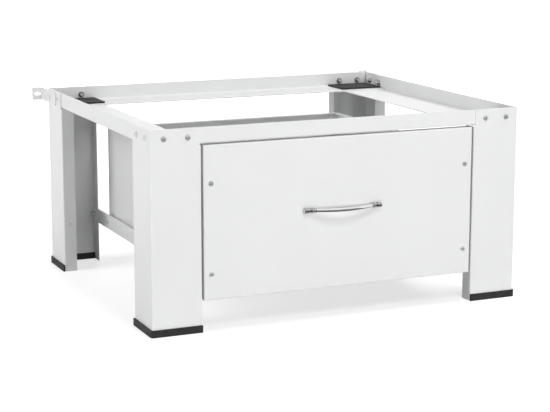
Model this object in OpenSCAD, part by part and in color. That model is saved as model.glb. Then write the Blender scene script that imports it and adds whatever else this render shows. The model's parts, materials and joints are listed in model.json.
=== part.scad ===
// Washer pedestal with a drawer: folded corner legs, angle rails that form a tray for the
// machine, wall brackets behind, and a sheet drawer on ball slides with a bow handle.
// Millimetres. X is the width, the front faces -Y, Z is up. The origin lies on the floor,
// in the middle of the part's bounding box.

/* [Frame] */
// Width over the outer faces of the legs
frame_w = 630; // [560:1:700]
// Depth over the outer faces of the legs
frame_d = 540; // [490:1:640]
// Height from the floor to the top of the rails
frame_h = 315; // [300:1:380]
// Sheet thickness of legs, rails, brackets and runners
sheet = 1.5; // [1.2:0.1:1.8]
// Outer radius of every bend in that sheet
bend = 2.5; // [2.2:0.1:3]
// Diameter of the clearance holes for frame screws
hole_d = 5.5; // [5.2:0.1:6]

/* [Legs] */
// Width of both outer faces of a corner leg
leg_w = 81; // [76:1:90]
// Return lip on the side face, seen from front or back
lip_side = 22; // [18:0.5:26]
// Return lip on the front or rear face, where the runner bolts on
lip_face = 24.5; // [22:0.5:26]
// Gap between the top of the lips and the rails
lip_gap = 1.5; // [0.3:0.1:3]
// Height of the bolt holes in both lips
lip_hole_z = 84.5; // [80:0.5:100]
// Distance from the leg's outer face to the bolt holes in its lips
lip_hole_in = 11.5; // [10:0.5:13]

/* [Foot trims] */
// Height of the rubber edge trim
trim_h = 11.3; // [8:0.1:18]
// Thickness of the trim outside the leg
trim_out = 2.5; // [1.5:0.1:3.5]
// Thickness of the trim inside the leg
trim_in = 2; // [1.5:0.1:3]
// Thickness of the trim under the leg
trim_web = 1.5; // [1:0.1:2.5]

/* [Rails and pads] */
// Height of the front and rear rails
rail_h = 24.5; // [22:0.5:34]
// Distance by which the rails' flanges reach past the legs' faces
rail_over = 0.5; // [0:0.5:10]
// Gap between the end of a front or rear rail and the side rail
rail_gap = 1.5; // [1.4:0.1:3]
// Width of a corner pad, side to side
pad_w = 79; // [50:0.5:90]
// Depth of a corner pad, front to back
pad_d = 61.5; // [45:0.5:64]
// Thickness of a corner pad
pad_t = 3; // [2:0.1:3.2]

/* [Screws and nuts] */
// Shank diameter of the frame screws
screw_d = 4.9; // [4.6:0.1:5.1]
// Diameter of a frame screw's pan head
head_d = 9; // [8.4:0.1:9.6]
// Height of a frame screw's pan head
head_h = 2.4; // [2:0.1:2.6]
// Length of a frame screw below its head
screw_len = 12; // [10:0.5:14]
// Nut size across its flats
nut_af = 7.8; // [7:0.1:8]
// Height of a flange nut
nut_h = 5; // [4:0.1:5.6]
// Flange diameter of a nut
nut_flange = 10.6; // [10:0.1:11]
// Thickness of a nut's flange
nut_rim = 1.2; // [1:0.1:1.4]
// Distance from a leg's corner to its first screw
screw_a = 22; // [18:1:26]
// Distance from a leg's corner to its second screw
screw_b = 60; // [50:1:62]
// Distance of the screws below the top of the frame
screw_drop = 14; // [12:0.5:14]

/* [Wall brackets] */
// Height of the bracket strip
bracket_h = 22.5; // [18:0.5:24]
// Reach of the bracket behind the legs
bracket_reach = 36; // [20:1:60]
// Width of the turned-out tab beyond the leg's side face
bracket_tab = 19; // [17:0.5:30]
// End-to-end length of the wall slot
slot_len = 11; // [8:0.5:13]
// Width of the wall slot
slot_w = 5.5; // [4.5:0.1:7]
// Distance from the tab's outer edge to the middle of the slot
slot_in = 10.2; // [8:0.1:12]
// Length of the strip in front of its screw
bracket_tail = 30; // [12:1:30]

/* [Runners and slides] */
// Height of the lower runner's web
runner_h = 24.7; // [24.5:0.1:30]
// Width of the runner's folded edges
runner_lip = 5; // [4:0.1:6]
// Distance from the slide's back end to the rear leg's lip
slide_gap = 39.5; // [12:0.5:60]
// Height of the fixed slide
slide_h = 17; // [16.6:0.1:18]
// Distance from the runner to the drawer's side, filled by the slide
slide_w = 10.5; // [10.5:0.1:12]
// Sheet thickness of the slide members
slide_t = 1; // [0.9:0.1:1.1]
// Diameter of the bearing balls
ball_d = 2.4; // [2.2:0.1:2.4]
// Distance between the balls in a cage
ball_pitch = 16; // [10:1:24]
// Opening travel of the drawer
travel = 350; // [200:5:360]

/* [Drawer] */
// Sheet thickness of the drawer
tin = 1; // [0.8:0.1:1.1]
// Gap between the front panel and each leg
front_gap = 3; // [2:0.1:3.4]
// Gap between the front panel and the front rail
top_gap = 2.8; // [2:0.1:6]
// Height of the panel's lower edge above the floor
front_z = 48.7; // [35:0.1:65]
// Depth of the panel's folded edges
front_edge = 14; // [8:0.5:16]
// Height of the bottom of the drawer box above the floor
box_z = 76; // [73:0.5:76.5]
// Height of the drawer box
box_h = 174; // [165:1:185]
// Width of the folded edges round the top of the box
rim = 13; // [8:0.5:16]
// Gap between the back of the box and the rear face of the frame
back_gap = 60; // [50:1:90]
// Height of the lower box screws above the floor
box_screw_z = 88.5; // [87.5:0.5:100]
// Vertical distance between box screws
box_screw_pitch = 140.5; // [80:0.5:145]
// Distance of the box screws from the panel's side edges
box_screw_in = 12.5; // [12:0.5:15]

/* [Handle] */
// Overall length of the handle
handle_len = 134; // [124:1:180]
// Distance of the handle's front from the panel
handle_reach = 22; // [20:0.5:40]
// Height of the handle's middle above the floor
handle_z = 175; // [120:0.5:230]
// Diameter of the bow
bow_d = 6.5; // [5:0.1:7.5]
// Diameter of the beads at the ends
bead_d = 9; // [8.4:0.1:12]
// Length of each of the two beads
bead_len = 9.5; // [9:0.5:13]

/* [Hidden] */
$fn = 48;

eps = 0.01;
cut = 10;
half_w = frame_w / 2;
half_d = frame_d / 2;
centre_y = (bracket_reach - handle_reach) / 2;
white = [0.93, 0.93, 0.93];
zinc = [0.62, 0.63, 0.64];
black = [0.2, 0.2, 0.2];
chrome = [0.8, 0.8, 0.82];

// Tray: the side rails' flanges lie under those of the front and rear rails.
tray_z = frame_h - rail_h;
side_z = tray_z - sheet;
pad_z = tray_z + sheet;
lip_top = side_z - lip_gap;
screw_z = frame_h - screw_drop;
rail_x = half_w - sheet;
rail_y = half_d - sheet;
rail_end = rail_x - sheet - rail_gap;
rail_w = leg_w - sheet + rail_over;
// the pads stay clear of the nuts' flanges
pad_gap = nut_rim + 0.5;

// The runner lies in the leg channel, against the lips of the front and rear faces.
lip_x = half_w - leg_w;
lip_in = lip_x + sheet;
lip_end = half_d - lip_face;
runner_x = lip_in + sheet;
runner_z = lip_hole_z - 1.5 - runner_h / 2;
bolt_y = half_d - lip_hole_in;
bolt_len = 10;
low_head_h = 1.5;

// Slide section, measured from the runner towards the drawer and from the slide's middle.
ball_gap = 0.3;
ball_r = ball_d / 2;
outer_w = slide_w - 2;
outer_lip = 2;
inner_w = slide_w - 3.5;
ball_s = outer_w - slide_t - ball_gap - ball_r;
ball_z = slide_h / 2 - slide_t - ball_gap - ball_r;
inner_h = 2 * (ball_z - ball_r - ball_gap);
inner_lip = 0.8;
cage_t = 0.6;
cage_s = slide_t + 0.8;
cage_w = outer_w - slide_t - ball_gap - cage_s;
cage_h = 2 * ball_z + cage_t;
tab_h = 6;
tab_s = 3;
inner_tab_s = 2;
slide_y = -lip_end + 1.5;
slide_end = lip_end - slide_gap;
inner_end = slide_end - slide_t - ball_gap;
cage_room = inner_end - slide_t - travel - slide_y - slide_t;
cage_len = cage_room - 2 * ball_gap;
cage_y = slide_y + slide_t + ball_gap + travel / 2;
slide_screw_y = lip_end - 63.5;
inner_screw_ys = [slide_y + 34, (slide_y + inner_end) / 2, inner_end - 54];

// The drawer's panel is flush with the legs and closes the space between them.
panel_x = lip_x - front_gap;
panel_top = tray_z - top_gap;
box_x = lip_in - slide_w;
box_front = -half_d + tin;
box_back = half_d - back_gap;
box_top = box_z + box_h;
box_flange = 15;
bottom_flange = 12;
tin_bend = 2;
tin_join = tin_bend + 1;
box_screw_x = panel_x - box_screw_in;
box_screw_d = 3.9;
box_screw_len = 8;
box_hole_d = 4.3;
box_head_d = 8.6;
box_head_h = 2.2;
box_nut_af = 7;
box_nut_h = 3.5;
box_nut_flange = 8.6;

// Slotted tab of the wall bracket.
bracket_z = screw_z + 0.5;
bracket_y = half_d + bracket_reach;
tab_x = half_w + bracket_tab;
slot_x = tab_x - slot_in;

// Bow: one arc whose ends are buried in the inner beads, over the screws.
bead_r = bead_d / 2;
bead_y = -half_d - bead_r + 0.5;
bead_gap = 0.8;
bead_x = handle_len / 2 - 2 * bead_len;
handle_screw_x = handle_len / 2 - 1.5 * bead_len;
bow_half = handle_len / 2 - 1.25 * bead_len;
bow_rise = handle_reach - bow_d / 2 - bead_r + 0.5;
bow_r = (bow_rise * bow_rise + bow_half * bow_half) / (2 * bow_rise);
bow_angle = asin(bow_half / bow_r);

// ---------- placing ----------

module centred() {
    translate([0, -centre_y, 0]) children();
}

// Children are drawn on the right-hand side and mirrored for the left.
module to_side(right) {
    if (right) children();
    else mirror([1, 0, 0]) children();
}

// Children are drawn at the rear right corner and mirrored to the others.
module to_corner(right, rear) {
    to_side(right)
        if (rear) children();
        else mirror([0, 1, 0]) children();
}

module to_corners() {
    for (right = [true, false], rear = [true, false]) to_corner(right, rear) children();
}

// Children are drawn with +Z as the way a screw's head faces.
module face_y(x, y, z) {
    translate([x, y, z]) rotate([-90, 0, 0]) children();
}

module face_x(x, y, z) {
    translate([x, y, z]) rotate([0, 90, 0]) children();
}

// Extrudes a profile of (depth, height) along X.
module along_x(x0, x1) {
    translate([x0, 0, 0]) rotate([90, 0, 90]) linear_extrude(x1 - x0) children();
}

// Extrudes a profile of (width, height) along Y.
module along_y(y0, y1) {
    translate([0, y1, 0]) rotate([90, 0, 0]) linear_extrude(y1 - y0) children();
}

// ---------- profiles ----------

// Folded angle: a flange of width w along X and a wall up to h, outer corner at the origin.
module angle_profile(w, h, t, r) {
    translate([r, 0]) square([w - r, t]);
    translate([0, r]) square([t, h - r]);
    translate([r, r]) intersection() {
        difference() {
            circle(r);
            circle(r - t);
        }
        translate([-r, -r]) square(r);
    }
}

// Folded channel: a web of height h and two flanges of width w along X.
module channel_profile(w, h, t, r) {
    angle_profile(w, h / 2, t, r);
    translate([0, h]) mirror([0, 1]) angle_profile(w, h / 2, t, r);
}

module rounded_square(w, r) {
    translate([r, 0]) square([w - 2 * r, w]);
    translate([0, r]) square([w, w - 2 * r]);
    for (x = [r, w - r], y = [r, w - r]) translate([x, y]) circle(r);
}

// Corner leg seen from above, at the rear right corner: two faces and two lips.
module leg_profile() {
    translate([half_w, half_d]) rotate(180) difference() {
        rounded_square(leg_w, bend);
        translate([sheet, sheet]) rounded_square(leg_w - 2 * sheet, bend - sheet);
        translate([lip_side, lip_face]) square(leg_w);
    }
}

// Rectangle from (x0, y0) to (x1, y1) with its far corner rounded.
module far_rounded(x0, y0, x1, y1, r) {
    translate([x0, y0]) square([x1 - x0 - r, y1 - y0]);
    translate([x0, y0]) square([x1 - x0, y1 - y0 - r]);
    translate([x1 - r, y1 - r]) circle(r);
}

// Rectangle of half-width w and depth d with both corners at the origin's side rounded.
module near_rounded(w, d, r) {
    translate([-w, r]) square([2 * w, d - r]);
    translate([-w + r, 0]) square([2 * (w - r), d]);
    for (s = [-1, 1]) translate([s * (w - r), r]) circle(r);
}

// ---------- fasteners ----------

// Domed head with a cross recess, from z = 0 to h.
module pan_head(d, h) {
    rise = 0.65 * h;
    dome_r = (d * d / 4 + rise * rise) / (2 * rise);
    difference() {
        intersection() {
            cylinder(h = h, d = d);
            translate([0, 0, h - dome_r]) sphere(dome_r);
        }
        for (a = [0, 90]) rotate(a)
            translate([-d / 4, -d / 18, h / 2]) cube([d / 2, d / 9, h]);
    }
}

// Screw whose head rises from z = 0 and whose shank points down.
module screw(d, len, head, head_rise) {
    pan_head(head, head_rise);
    translate([0, 0, -len]) cylinder(h = len, d = d);
}

// Flange nut that sits on z = 0.
module nut(af, h, flange, bore) {
    difference() {
        union() {
            cylinder(h = h, d = af / cos(30), $fn = 6);
            cylinder(h = nut_rim, d = flange);
        }
        translate([0, 0, -1]) cylinder(h = h + 2, d = bore);
    }
}

module frame_screw() {
    screw(screw_d, screw_len, head_d, head_h);
}

module frame_nut() {
    nut(nut_af, nut_h, nut_flange, screw_d + 0.1);
}

// Hole through a sheet, along the way a screw's head faces.
module drill(d) {
    cylinder(h = cut, d = d, center = true);
}

// ---------- frame ----------

module leg(right, rear) {
    color(white) centred() to_corner(right, rear) difference() {
        linear_extrude(frame_h) leg_profile();
        // the lips and their bends end below the rails
        translate([half_w - lip_side - 1, half_d - leg_w - 1, lip_top])
            cube([lip_side + 2, bend + 1, frame_h]);
        translate([lip_x - 1, half_d - lip_face - 1, lip_top])
            cube([bend + 1, lip_face + 2, frame_h]);
        // the faces stand on the trim's web
        translate([lip_in, rail_y - eps, -1]) cube([leg_w, leg_w, trim_web + 1]);
        translate([rail_x - eps, half_d - leg_w + sheet, -1]) cube([leg_w, leg_w, trim_web + 1]);
        for (a = [screw_a, screw_b]) {
            face_y(half_w - a, half_d, screw_z) drill(hole_d);
            face_x(half_w, half_d - a, screw_z) drill(hole_d);
        }
        face_y(half_w - lip_hole_in, half_d - leg_w, lip_hole_z) drill(hole_d);
        face_x(lip_x, bolt_y, lip_hole_z) drill(hole_d);
    }
}

module foot_trim(right, rear) {
    out_x = half_w + trim_out;
    out_y = half_d + trim_out;
    in_x = rail_x - trim_in;
    in_y = rail_y - trim_in;
    out_r = bend + trim_out;
    end_y = half_d - leg_w;
    color(black) centred() to_corner(right, rear) {
        // outer wall
        linear_extrude(trim_h) difference() {
            far_rounded(lip_x, end_y, out_x, out_y, out_r);
            far_rounded(lip_x - 1, end_y - 1, half_w, half_d, bend);
        }
        // web under the faces, between the lips
        linear_extrude(trim_web) difference() {
            far_rounded(lip_in, end_y + sheet, out_x, out_y, out_r);
            translate([lip_in - 1, end_y]) square([in_x - lip_in + 1, in_y - end_y]);
        }
        // inner wall
        linear_extrude(trim_h) difference() {
            far_rounded(lip_in + 0.5, end_y + sheet + 0.5, rail_x, rail_y, bend);
            translate([lip_in - 1, end_y]) square([in_x - lip_in + 1, in_y - end_y]);
        }
    }
}

module end_rail(rear) {
    color(white) centred() to_corner(true, rear) difference() {
        translate([0, rail_y, tray_z]) mirror([0, 1, 0])
            along_x(-rail_end, rail_end) angle_profile(rail_w, rail_h, sheet, bend);
        for (s = [-1, 1], a = [screw_a, screw_b])
            face_y(s * (half_w - a), rail_y, screw_z) drill(hole_d);
    }
}

module side_rail(right) {
    reach = rail_y - bend;
    color(white) centred() to_side(right) difference() {
        translate([rail_x, 0, side_z]) mirror([1, 0, 0])
            along_y(-reach, reach) angle_profile(rail_w, rail_h + sheet, sheet, bend);
        for (s = [-1, 1], a = [screw_a, screw_b])
            face_x(rail_x, s * (half_d - a), screw_z) drill(hole_d);
    }
}

module corner_pad(right, rear) {
    x1 = rail_x - sheet - pad_gap;
    y1 = rail_y - bend - 0.5;
    color(black) centred() to_corner(right, rear)
        translate([x1 - pad_w, y1 - pad_d, pad_z]) cube([pad_w, pad_d, pad_t]);
}

module wall_bracket(right) {
    y0 = half_d - screw_a - bracket_tail;
    color(white) centred() to_side(right) difference() {
        translate([half_w, bracket_y, bracket_z - bracket_h / 2]) mirror([0, 1, 0])
            linear_extrude(bracket_h)
                angle_profile(bracket_tab, bracket_y - y0, sheet, bend + 0.5);
        face_x(half_w, half_d - screw_a, screw_z) drill(hole_d);
        face_y(slot_x, bracket_y, bracket_z) linear_extrude(cut, center = true) slot_profile();
        for (s = [-1, 1]) {
            edge_z = bracket_z + s * bracket_h / 2;
            face_y(tab_x, bracket_y, edge_z) round_off(2.5);
            face_x(half_w, y0, edge_z) round_off(5);
        }
    }
}

module slot_profile() {
    reach = (slot_len - slot_w) / 2;
    square([2 * reach, slot_w], center = true);
    for (s = [-1, 1]) translate([s * reach, 0]) circle(d = slot_w);
}

// Rounds any square corner that lies in the middle of this cutter.
module round_off(r) {
    linear_extrude(cut, center = true) difference() {
        square(2 * r, center = true);
        for (x = [-r, r], y = [-r, r]) translate([x, y]) circle(r);
    }
}

module frame_screws() {
    color(zinc) centred() for (right = [true, false], rear = [true, false], a = [screw_a, screw_b])
        to_corner(right, rear) {
            lift = rear && a == screw_a ? sheet : 0;
            face_y(half_w - a, half_d, screw_z) frame_screw();
            face_x(half_w + lift, half_d - a, screw_z) frame_screw();
        }
}

module frame_nuts() {
    color(zinc) centred() to_corners() for (a = [screw_a, screw_b]) {
        face_y(half_w - a, rail_y - sheet, screw_z) mirror([0, 0, 1]) frame_nut();
        // turned so that a flat faces the pad
        face_x(rail_x - sheet, half_d - a, screw_z) mirror([0, 0, 1]) rotate(30) frame_nut();
    }
}

// ---------- runners and slides ----------

module runner(right) {
    reach = rail_y - 1;
    color(white) centred() to_side(right) difference() {
        translate([runner_x, 0, runner_z]) mirror([1, 0, 0])
            along_y(-reach, reach) channel_profile(runner_lip, runner_h, sheet, bend);
        for (s = [0, 1]) mirror([0, s, 0]) {
            // notch for the leg's lip
            translate([lip_x - runner_lip, lip_end - 0.5, runner_z - 1])
                cube([lip_in - lip_x + runner_lip, lip_face + 0.5, runner_h + 2]);
            face_x(lip_in, bolt_y, lip_hole_z) drill(hole_d);
            face_x(lip_in, slide_screw_y, lip_hole_z) drill(hole_d);
        }
    }
}

module runner_bolts() {
    color(zinc) centred() to_corners()
        translate([lip_x, bolt_y, lip_hole_z]) rotate([0, -90, 0])
            screw(screw_d, bolt_len, head_d, low_head_h);
}

module runner_nuts() {
    color(zinc) centred() to_corners() face_x(runner_x, bolt_y, lip_hole_z) frame_nut();
}

module slide_screws() {
    color(zinc) centred() to_corners() face_x(runner_x, slide_screw_y, lip_hole_z)
        screw(screw_d, runner_x - lip_in + slide_t + 0.3, head_d, head_h);
}

// Fixed member: a channel with inturned lips, open to the drawer, and a stop tab at each end.
module slide_outer(right) {
    color(zinc) centred() to_side(right) difference() {
        union() {
            translate([lip_in, 0, lip_hole_z - slide_h / 2]) mirror([1, 0, 0])
                along_y(slide_y, slide_end) outer_profile();
            for (y = [slide_y, slide_end - slide_t])
                translate([lip_in - tab_s, y, lip_hole_z - tab_h / 2])
                    cube([tab_s - slide_t, slide_t, tab_h]);
        }
        for (s = [-1, 1])
            face_x(lip_in, s * slide_screw_y, lip_hole_z) drill(screw_d + 0.1);
    }
}

module outer_profile() {
    channel_profile(outer_w, slide_h, slide_t, slide_t + 0.5);
    for (z = [slide_t, slide_h - slide_t - outer_lip])
        translate([outer_w - slide_t, z]) square([slide_t, outer_lip]);
}

// Moving member: a smaller channel, screwed to the drawer, with a catch tab at its back.
module slide_inner(right) {
    color(zinc) centred() to_side(right) difference() {
        union() {
            translate([box_x, 0, lip_hole_z - inner_h / 2])
                along_y(slide_y, inner_end) inner_profile();
            translate([box_x + slide_t, inner_end - slide_t, lip_hole_z - tab_h / 2])
                cube([slide_w - inner_tab_s - slide_t, slide_t, tab_h]);
        }
        inner_screw_places() drill(box_screw_d + 0.1);
    }
}

module inner_profile() {
    channel_profile(inner_w, inner_h, slide_t, slide_t + 0.5);
    for (z = [-inner_lip, inner_h])
        translate([inner_w - slide_t, z]) square([slide_t, inner_lip]);
}

// Places on the drawer's right side, with +Z pointing at the slide.
module inner_screw_places() {
    for (y = inner_screw_ys) face_x(box_x + slide_t, y, lip_hole_z) children();
}

module slide_inner_screws() {
    color(zinc) centred() for (right = [true, false]) to_side(right)
        inner_screw_places() screw(box_screw_d, slide_t + tin + 1, 6.4, low_head_h);
}

module ball_places() {
    count = floor(cage_len / ball_pitch);
    first = cage_y + (cage_len - (count - 1) * ball_pitch) / 2;
    for (i = [0 : count - 1], s = [-1, 1])
        translate([lip_in - ball_s, first + i * ball_pitch, lip_hole_z + s * ball_z]) children();
}

module ball_cage(right) {
    color(zinc) centred() to_side(right) difference() {
        translate([lip_in - cage_s, 0, lip_hole_z - cage_h / 2]) mirror([1, 0, 0])
            along_y(cage_y, cage_y + cage_len) channel_profile(cage_w, cage_h, cage_t, 1);
        ball_places() cylinder(h = 2, r = ball_r + 0.05, center = true);
    }
}

module slide_balls(right) {
    color(zinc) centred() to_side(right) ball_places() sphere(ball_r);
}

// ---------- drawer ----------

module drawer_front() {
    color(white) centred() difference() {
        pan(panel_x, front_z, panel_top, front_edge, tin_bend);
        translate([0, tin, 0])
            pan(panel_x - tin, front_z + tin, panel_top - tin, front_edge, tin_bend - tin);
        box_screw_places() drill(box_hole_d);
        handle_places() drill(box_hole_d);
    }
}

// Block behind the panel's face with all four of its front edges rounded.
module pan(w, z0, z1, d, r) {
    translate([0, -half_d, 0]) intersection() {
        translate([0, 0, z0]) linear_extrude(z1 - z0) near_rounded(w, d, r);
        translate([0, 0, (z0 + z1) / 2]) rotate([0, 90, 0])
            linear_extrude(2 * w, center = true) near_rounded((z1 - z0) / 2, d, r);
    }
}

// Places on the outside of the panel, with +Z pointing at the user.
module box_screw_places() {
    for (s = [-1, 1], z = [0, box_screw_pitch])
        translate([s * box_screw_x, -half_d, box_screw_z + z]) rotate([90, 0, 0]) children();
}

// The same places on the outside of the box's back, with +Z pointing to the wall.
module back_screw_places() {
    translate([0, box_back - half_d, 0]) mirror([0, 1, 0]) box_screw_places() children();
}

module handle_places() {
    for (s = [-1, 1])
        translate([s * handle_screw_x, -half_d, handle_z]) rotate([90, 0, 0]) children();
}

module drawer_side(right) {
    y1 = box_back - tin;
    color(white) centred() to_side(right) difference() {
        union() {
            translate([box_x, box_front, box_z + tin_bend]) mirror([1, 0, 0])
                linear_extrude(box_h - 2 * tin_bend)
                    channel_profile(box_flange, y1 - box_front, tin, tin_bend);
            translate([box_x, 0, box_top]) mirror([1, 0, 0]) mirror([0, 0, 1])
                along_y(box_front + tin_bend, y1 - tin_bend)
                    angle_profile(rim, tin_join, tin, tin_bend);
            translate([box_x, 0, box_z]) mirror([1, 0, 0])
                along_y(box_front + tin_bend, y1 - tin_bend)
                    angle_profile(bottom_flange, tin_join, tin, tin_bend);
        }
        box_screw_places() drill(box_hole_d);
        back_screw_places() drill(box_hole_d);
        inner_screw_places() drill(box_screw_d + 0.1);
    }
}

module drawer_back() {
    reach = box_x - rim - 0.5;
    color(white) centred() difference() {
        union() {
            translate([-box_x, box_back - tin, box_z])
                cube([2 * box_x, tin, box_h - tin_bend]);
            translate([0, box_back, box_top]) mirror([0, 1, 0]) mirror([0, 0, 1])
                along_x(-reach, reach) angle_profile(rim, tin_join, tin, tin_bend);
        }
        back_screw_places() drill(box_hole_d);
    }
}

// Flat sheet that lies on the sides' lower flanges.
module drawer_bottom() {
    half_x = box_x - tin_bend;
    y0 = box_front + tin_bend;
    y1 = box_back - tin - tin_bend;
    color(white) centred()
        translate([-half_x, y0, box_z + tin]) cube([2 * half_x, y1 - y0, tin]);
}

module drawer_screws() {
    color(zinc) centred() {
        box_screw_places() box_screw();
        back_screw_places() box_screw();
    }
}

module box_screw() {
    screw(box_screw_d, box_screw_len, box_head_d, box_head_h);
}

module drawer_nuts() {
    color(zinc) centred() {
        box_screw_places() translate([0, 0, -2 * tin]) mirror([0, 0, 1]) box_nut();
        back_screw_places() translate([0, 0, -2 * tin]) mirror([0, 0, 1]) box_nut();
    }
}

module box_nut() {
    nut(box_nut_af, box_nut_h, box_nut_flange, box_screw_d + 0.1);
}

// ---------- handle ----------

// Bead turned round the handle's axis, from x0 to x1.
module bead(x0, x1) {
    round_r = 2;
    len = x1 - x0;
    translate([x0, bead_y, handle_z]) rotate([0, 90, 0]) rotate_extrude() {
        square([bead_r - round_r, len]);
        translate([0, round_r]) square([bead_r, len - 2 * round_r]);
        for (y = [round_r, len - round_r]) translate([bead_r - round_r, y]) circle(round_r);
    }
}

module handle() {
    color(chrome) centred() difference() {
        union() {
            translate([0, bead_y - bow_rise + bow_r, handle_z]) rotate(270 - bow_angle)
                rotate_extrude(angle = 2 * bow_angle) translate([bow_r, 0]) circle(d = bow_d);
            for (right = [true, false]) to_side(right) {
                bead(bead_x, bead_x + bead_len - bead_gap / 2);
                bead(bead_x + bead_len + bead_gap / 2, handle_len / 2);
                // neck between the beads
                translate([bead_x + 2, bead_y, handle_z]) rotate([0, 90, 0])
                    cylinder(h = 2 * bead_len - 4, d = bow_d);
            }
            handle_places() cylinder(h = bead_r, d = bead_d - 1);
        }
        // flat seat against the panel
        translate([-handle_len, -half_d, handle_z - bead_d]) cube([2 * handle_len, 5, 2 * bead_d]);
        handle_places() translate([0, 0, -1]) cylinder(h = bead_d - 1, d = box_screw_d + 0.1);
    }
}

module handle_screws() {
    color(zinc) centred() handle_places() translate([0, 0, -tin]) mirror([0, 0, 1])
        screw(box_screw_d, bead_r + tin, box_head_d, box_head_h);
}

// ---------- assembly ----------

leg(false, false);  // leg_front_left
leg(true, false);  // leg_front_right
leg(false, true);  // leg_rear_left
leg(true, true);  // leg_rear_right
foot_trim(false, false);  // foot_trim_front_left
foot_trim(true, false);  // foot_trim_front_right
foot_trim(false, true);  // foot_trim_rear_left
foot_trim(true, true);  // foot_trim_rear_right
end_rail(false);  // rail_front
end_rail(true);  // rail_rear
side_rail(false);  // rail_left
side_rail(true);  // rail_right
corner_pad(false, false);  // corner_pad_front_left
corner_pad(true, false);  // corner_pad_front_right
corner_pad(false, true);  // corner_pad_rear_left
corner_pad(true, true);  // corner_pad_rear_right
wall_bracket(false);  // wall_bracket_left
wall_bracket(true);  // wall_bracket_right
frame_screws();
frame_nuts();
runner(false);  // runner_left
runner(true);  // runner_right
runner_bolts();
runner_nuts();
slide_outer(false);  // slide_outer_left
slide_outer(true);  // slide_outer_right
slide_screws();
ball_cage(false);  // ball_cage_left
ball_cage(true);  // ball_cage_right
slide_balls(false);  // slide_balls_left
slide_balls(true);  // slide_balls_right
slide_inner(false);  // slide_inner_left
slide_inner(true);  // slide_inner_right
slide_inner_screws();
drawer_front();
drawer_side(false);  // drawer_side_left
drawer_side(true);  // drawer_side_right
drawer_back();
drawer_bottom();
drawer_screws();
drawer_nuts();
handle();
handle_screws();
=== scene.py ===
import json
import math

import bpy
from mathutils import Euler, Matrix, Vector

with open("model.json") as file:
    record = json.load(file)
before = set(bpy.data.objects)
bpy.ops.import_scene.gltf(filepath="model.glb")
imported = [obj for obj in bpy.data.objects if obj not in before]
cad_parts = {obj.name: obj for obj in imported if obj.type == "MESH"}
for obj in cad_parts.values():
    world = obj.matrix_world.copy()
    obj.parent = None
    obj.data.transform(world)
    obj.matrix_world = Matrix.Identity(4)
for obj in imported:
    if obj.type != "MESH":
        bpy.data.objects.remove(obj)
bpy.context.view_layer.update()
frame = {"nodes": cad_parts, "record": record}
nodes = frame["nodes"]
scene = bpy.context.scene

# lengths are in metres, lamp powers in watts and angles in degrees

# colours of the pedestal
WHITE = (0.80, 0.803, 0.805)
ZINC = (0.72, 0.725, 0.73)
BALL_STEEL = (0.62, 0.62, 0.63)
CHROME = (0.88, 0.885, 0.89)
TRIM_BLACK = (0.026, 0.026, 0.027)
PAD_BLACK = (0.028, 0.028, 0.029)
NUT_TONE = 0.85  # the nuts' zinc against the screws'

# the rings turned into the handle's beads, which carry painted shade
RIB_PITCH = 0.0024
RIB_DEPTH = 0.00035
BEADS_FROM = 0.048  # from the handle's middle
BEAD_EDGE = 0.0003  # over which the rings set in

# the floor glows for the camera, more so away from the object
FLOOR_HALF = 12
FLOOR_GREY = (0.6, 0.6, 0.6)
FLOOR_SHADE = (0.59, 0.59, 0.59)
FLOOR_LIFT_NEAR = 0.62
FLOOR_LIFT_FAR = 1.0
LIFT_BAND = (0.55, 1.3)  # distances from the middle between which the glow rises

# the world lights the object a little, and looks white
DOME_COLOR = (0.985, 0.99, 1)
DOME_STRENGTH = 0.03
SEEN_WHITE = (1, 1, 1)

LAMP_AIM = Vector((0, 0, 0.15))

CAMERA_PLACE = (-1.08315, -2.48083, 0.67158)
CAMERA_TURN = (78.6046, -0.0438, -23.7275)
CAMERA_LENS = 105.1943  # focal length in millimetres
CAMERA_REACH = 100


# ---------- material helpers ----------

def toned(color, factor, extra=0.0):
    return tuple(c * factor + extra for c in color)


def maths(tree, operation, first, second=None):
    """A maths node on a socket and, if given, a second socket or a number."""
    node = tree.nodes.new("ShaderNodeMath")
    node.operation = operation
    tree.links.new(first, node.inputs[0])
    if isinstance(second, float):
        node.inputs[1].default_value = second
    elif second is not None:
        tree.links.new(second, node.inputs[1])
    return node.outputs[0]


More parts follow.
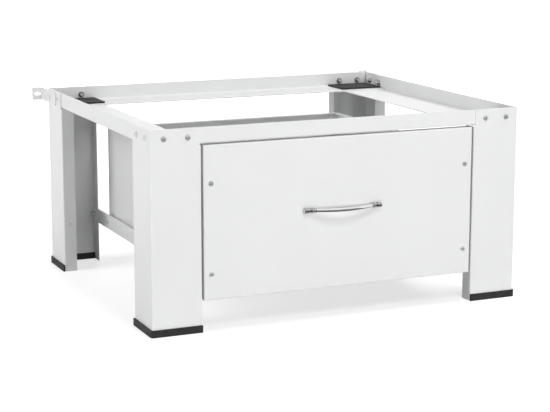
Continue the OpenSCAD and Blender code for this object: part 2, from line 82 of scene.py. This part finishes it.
class Mat:
    """A node material around one Principled shader, with textures in metres."""

    def __init__(self, name, color, roughness, metallic=0.0):
        self.material = bpy.data.materials.new(name)
        self.material.use_nodes = True
        self.tree = self.material.node_tree
        self.bsdf = next(n for n in self.tree.nodes if n.type == "BSDF_PRINCIPLED")
        self.put("Base Color", (*color, 1))
        self.put("Roughness", roughness)
        self.put("Metallic", metallic)
        self.coord = self.tree.nodes.new("ShaderNodeTexCoord").outputs["Object"]
        self.relief = None

    def put(self, key, value):
        self.bsdf.inputs[key].default_value = value

    def link(self, a, b):
        self.tree.links.new(a, b)

    def stretched(self, factors):
        """Texture space scaled by a factor along each axis."""
        node = self.tree.nodes.new("ShaderNodeMapping")
        node.inputs["Scale"].default_value = factors
        self.link(self.coord, node.inputs["Vector"])
        return node.outputs["Vector"]

    def noise(self, size, detail=3.0, roughness=0.5, space=None):
        """Noise whose blobs are about size across."""
        node = self.tree.nodes.new("ShaderNodeTexNoise")
        node.inputs["Scale"].default_value = 1 / size
        node.inputs["Detail"].default_value = detail
        node.inputs["Roughness"].default_value = roughness
        self.link(space or self.coord, node.inputs["Vector"])
        return node.outputs["Fac"]

    def cells(self, size):
        """Distance to the nearest of points that are about size apart."""
        node = self.tree.nodes.new("ShaderNodeTexVoronoi")
        node.inputs["Scale"].default_value = 1 / size
        self.link(self.coord, node.inputs["Vector"])
        return node.outputs["Distance"]

    def remap(self, value, source, target=(0, 1)):
        """The value with its source range stretched over the target range, and clamped there."""
        node = self.tree.nodes.new("ShaderNodeMapRange")
        for key, number in zip(("From Min", "From Max", "To Min", "To Max"), (*source, *target)):
            node.inputs[key].default_value = number
        self.link(value, node.inputs["Value"])
        return node.outputs["Result"]

    def blend(self, factor, a, b):
        """Colour between a and b, where each is an RGB tuple or a socket."""
        node = self.tree.nodes.new("ShaderNodeMix")
        node.data_type = "RGBA"
        self.link(factor, node.inputs["Factor"])
        for key, color in (("A", a), ("B", b)):
            socket = next(s for s in node.inputs if s.name == key and s.type == "RGBA")
            if isinstance(color, tuple):
                socket.default_value = (*color, 1)
            else:
                self.link(color, socket)
        return next(s for s in node.outputs if s.type == "RGBA")

    def paint(self, color):
        self.link(color, self.bsdf.inputs["Base Color"])

    def gloss(self, roughness):
        self.link(roughness, self.bsdf.inputs["Roughness"])

    def bump(self, height, depth):
        """Adds a relief of that depth to the surface."""
        node = self.tree.nodes.new("ShaderNodeBump")
        node.inputs["Strength"].default_value = 1.0
        node.inputs["Distance"].default_value = depth
        self.link(height, node.inputs["Height"])
        if self.relief:
            self.link(self.relief, node.inputs["Normal"])
        self.relief = node.outputs["Normal"]
        self.link(self.relief, self.bsdf.inputs["Normal"])


# ---------- materials of the pedestal ----------

def powder_coat(name, color):
    """Smooth white powder coat: faint orange peel, broad waves of the sheet and clear gloss."""
    m = Mat(name, color, 0.4)
    tint = m.remap(m.noise(size=0.09, detail=4), (0.35, 0.65))
    m.paint(m.blend(tint, color, toned(color, 0.985)))
    m.gloss(m.remap(m.noise(size=0.02, detail=5), (0.3, 0.7), (0.36, 0.46)))
    m.bump(m.noise(size=0.12, detail=1), depth=0.00012)
    m.bump(m.noise(size=0.0016, detail=2), depth=0.000012)
    m.put("Coat Weight", 0.12)
    m.put("Coat Roughness", 0.22)
    return m.material


def rubber(name, color, grain):
    """Dull black rubber: dusty patches and a fine grain of that depth."""
    m = Mat(name, color, 0.7)
    m.put("Specular IOR Level", 0.22)
    dust = m.remap(m.noise(size=0.012, detail=6, roughness=0.65), (0.45, 0.75))
    m.paint(m.blend(dust, color, toned(color, 1.5, 0.004)))
    m.gloss(m.remap(m.noise(size=0.004, detail=4), (0.3, 0.7), (0.6, 0.8)))
    m.bump(m.noise(size=0.0007, detail=3, roughness=0.6), depth=grain)
    m.bump(m.cells(size=0.0013), depth=grain * 0.6)
    return m.material


def zinc_plate(name, color, metallic, roughness):
    """Bright zinc: fine drawn streaks and slightly cloudy passivation."""
    m = Mat(name, color, roughness, metallic)
    cloud = m.remap(m.noise(size=0.006, detail=5, roughness=0.6), (0.35, 0.7))
    bluish = tuple(c * s for c, s in zip(color, (0.86, 0.87, 0.9)))
    m.paint(m.blend(cloud, color, bluish))
    streak = m.noise(size=0.0006, detail=2, space=m.stretched((1, 0.06, 1)))
    m.gloss(m.remap(streak, (0.3, 0.7), (roughness - 0.06, roughness + 0.08)))
    m.bump(streak, depth=0.000006)
    return m.material


def turned_rings(m, start, skin, painted_ring_shade):
    """Fine rings round the X axis further than start from the middle, with painted shade darkening the
    chrome along them.
    """
    split = m.tree.nodes.new("ShaderNodeSeparateXYZ")
    m.link(m.coord, split.inputs[0])
    along = split.outputs["X"]
    wave = maths(m.tree, "PINGPONG", along, RIB_PITCH / 2)
    beads = m.remap(maths(m.tree, "ABSOLUTE", along), (start - BEAD_EDGE, start))
    height = maths(m.tree, "MULTIPLY", m.remap(wave, (0, RIB_PITCH / 2)), beads)
    m.bump(height, RIB_DEPTH)
    # painted shade: the chrome darkens towards the rings' raised parts
    m.paint(m.blend(m.remap(height, (0, 0.75)), skin, painted_ring_shade))


def chrome_plate(name, color, rings_from=0.0):
    """Mirror plating with a light haze, and turned rings with painted shade further from the middle
    than rings_from.
    """
    m = Mat(name, color, 0.08, 1.0)
    haze = m.remap(m.noise(size=0.009, detail=5, roughness=0.6), (0.4, 0.75))
    skin = m.blend(haze, color, toned(color, 0.93))
    m.paint(skin)
    m.gloss(m.remap(m.noise(size=0.003, detail=4), (0.3, 0.7), (0.06, 0.13)))
    m.bump(m.noise(size=0.004, detail=2), depth=0.000008)
    if rings_from:
        # the rings' painted shade darkens the chrome to 0.3 of its colour
        turned_rings(m, rings_from, skin, toned(color, 0.3))
    return m.material


def dress(names, material):
    for name in names:
        for material_slot in nodes[name].material_slots:
            material_slot.material = material


slot_materials = {
    "white_paint": powder_coat("white powder coat", WHITE),
    "trim_rubber": rubber("edge trim rubber", TRIM_BLACK, grain=0.00003),
    "pad_rubber": rubber("pad rubber", PAD_BLACK, grain=0.00006),
    "zinc": zinc_plate("bright zinc", ZINC, metallic=0.6, roughness=0.38),
    "ball_steel": chrome_plate("bearing steel", BALL_STEEL),
    "handle_chrome": chrome_plate("handle chrome with painted ring shade", CHROME, BEADS_FROM),
}
for part in frame["record"]["subparts"]:
    dress([part["node"]], slot_materials[part["material_slot"]])
nut_zinc = zinc_plate("nut zinc", toned(ZINC, NUT_TONE), metallic=1.0, roughness=0.2)
dress(["frame_nuts", "drawer_nuts", "runner_nuts"], nut_zinc)


# ---------- floor and world ----------

def seen_mask(tree):
    """1 for rays from the camera, from gloss or through glass, else 0."""
    path = tree.nodes.new("ShaderNodeLightPath")
    mirrored = maths(tree, "MAXIMUM", path.outputs["Is Camera Ray"], path.outputs["Is Glossy Ray"])
    return maths(tree, "MAXIMUM", mirrored, path.outputs["Is Transmission Ray"])


def seen_as(tree, lighting, look):
    """A shader that lights the object as the one socket and looks like the other."""
    mix = tree.nodes.new("ShaderNodeMixShader")
    tree.links.new(seen_mask(tree), mix.inputs[0])
    tree.links.new(lighting, mix.inputs[1])
    tree.links.new(look, mix.inputs[2])
    return mix.outputs[0]


def flat_sheet(name, corner, across, along):
    """A flat four-sided surface of the studio, from a corner and the two edges that meet there."""
    corner, across, along = Vector(corner), Vector(across), Vector(along)
    mesh = bpy.data.meshes.new(name)
    corners = [corner, corner + across, corner + across + along, corner + along]
    mesh.from_pydata(corners, [], [(0, 1, 2, 3)])
    sheet = bpy.data.objects.new(name, mesh)
    scene.collection.objects.link(sheet)
    return sheet


def pale_floor():
    """A matt floor whose glow is only seen, so that it is pale and still keeps the shadow."""
    m = Mat("pale floor", FLOOR_GREY, 0.9)
    m.put("Specular IOR Level", 0.0)
    shade = m.remap(m.noise(size=0.5), (0.3, 0.7))
    m.paint(m.blend(shade, FLOOR_GREY, FLOOR_SHADE))
    away = m.tree.nodes.new("ShaderNodeVectorMath")
    away.operation = "LENGTH"
    m.link(m.coord, away.inputs[0])
    glow = m.tree.nodes.new("ShaderNodeEmission")
    rise = m.remap(away.outputs["Value"], LIFT_BAND, (FLOOR_LIFT_NEAR, FLOOR_LIFT_FAR))
    m.link(rise, glow.inputs["Strength"])
    lifted = m.tree.nodes.new("ShaderNodeAddShader")
    m.link(m.bsdf.outputs[0], lifted.inputs[0])
    m.link(glow.outputs[0], lifted.inputs[1])
    out = next(n for n in m.tree.nodes if n.type == "OUTPUT_MATERIAL")
    m.link(seen_as(m.tree, m.bsdf.outputs[0], lifted.outputs[0]), out.inputs["Surface"])
    return m.material


def background(tree, color, strength):
    node = tree.nodes.new("ShaderNodeBackground")
    node.inputs["Color"].default_value = (*color, 1)
    node.inputs["Strength"].default_value = strength
    return node.outputs[0]


def white_world():
    world = bpy.data.worlds.new("studio")
    world.use_nodes = True
    tree = world.node_tree
    tree.nodes.clear()
    dome = background(tree, DOME_COLOR, DOME_STRENGTH)
    sky = seen_as(tree, dome, background(tree, SEEN_WHITE, 1))
    tree.links.new(sky, tree.nodes.new("ShaderNodeOutputWorld").inputs["Surface"])
    return world


floor_side = 2 * FLOOR_HALF
floor = flat_sheet("floor", (-FLOOR_HALF, -FLOOR_HALF, 0), (floor_side, 0, 0), (0, floor_side, 0))
floor.data.materials.append(pale_floor())
scene.world = white_world()


# ---------- lamps, cards and camera ----------

def soft_box(name, place, width, height, watts):
    """A soft lamp that looks at the pedestal, and that no camera or mirror sees."""
    lamp = bpy.data.lights.new(name, "AREA")
    lamp.shape = "RECTANGLE"
    lamp.size = width
    lamp.size_y = height
    lamp.energy = watts
    box = bpy.data.objects.new(name, lamp)
    box.location = place
    box.rotation_euler = (LAMP_AIM - Vector(place)).to_track_quat("-Z", "Y").to_euler()
    box.visible_camera = False
    box.visible_glossy = False
    scene.collection.objects.link(box)


def dark_card(name, corner, across, along, tone):
    """A grey card that only reflections see, for contrast in the bright metal."""
    card = flat_sheet(name, corner, across, along)
    card.visible_camera = card.visible_diffuse = card.visible_shadow = False
    m = Mat(name, (0.02, 0.02, 0.02), 0.9)
    m.put("Specular IOR Level", 0.0)
    grey = m.blend(m.noise(size=0.4), (tone * 0.9,) * 3, (tone * 1.1,) * 3)
    m.link(grey, m.bsdf.inputs["Emission Color"])
    m.put("Emission Strength", 1.0)
    card.data.materials.append(m.material)


soft_box("front low", (0.1, -3.4, 0.36), width=1.6, height=0.6, watts=45)
soft_box("key", (0.1, -2.0, 2.1), width=0.8, height=0.8, watts=22)
soft_box("kicker", (0, -1.9, 0.02), width=0.4, height=0.2, watts=3.5)
soft_box("left box", (-2.0, -0.1, 0.9), width=1.2, height=1.2, watts=18)
soft_box("left high", (-1.8, 0.3, 1.5), width=1.0, height=1.0, watts=8)
soft_box("top right", (1.1, -0.2, 2.0), width=1.2, height=1.2, watts=28)
soft_box("back box", (0.6, 2.6, 0.9), width=1.3, height=1.3, watts=34)

# one card lies just above the floor in front of the pedestal, and one stands upright beyond its end
dark_card("low card", (-2.5, -3.2, 0.002), across=(5, 0, 0), along=(0, 2.84, 0), tone=0.04)
dark_card("far card", (-4, -3.5, 0), across=(8, 0, 0), along=(0, 0, 3), tone=0.25)

camera_data = bpy.data.cameras.new("camera")
camera_data.lens = CAMERA_LENS
camera_data.clip_end = CAMERA_REACH
camera = bpy.data.objects.new("camera", camera_data)
camera.location = CAMERA_PLACE
camera.rotation_euler = Euler([math.radians(a) for a in CAMERA_TURN])
scene.collection.objects.link(camera)
scene.camera = camera
scene.view_settings.view_transform = "Standard"
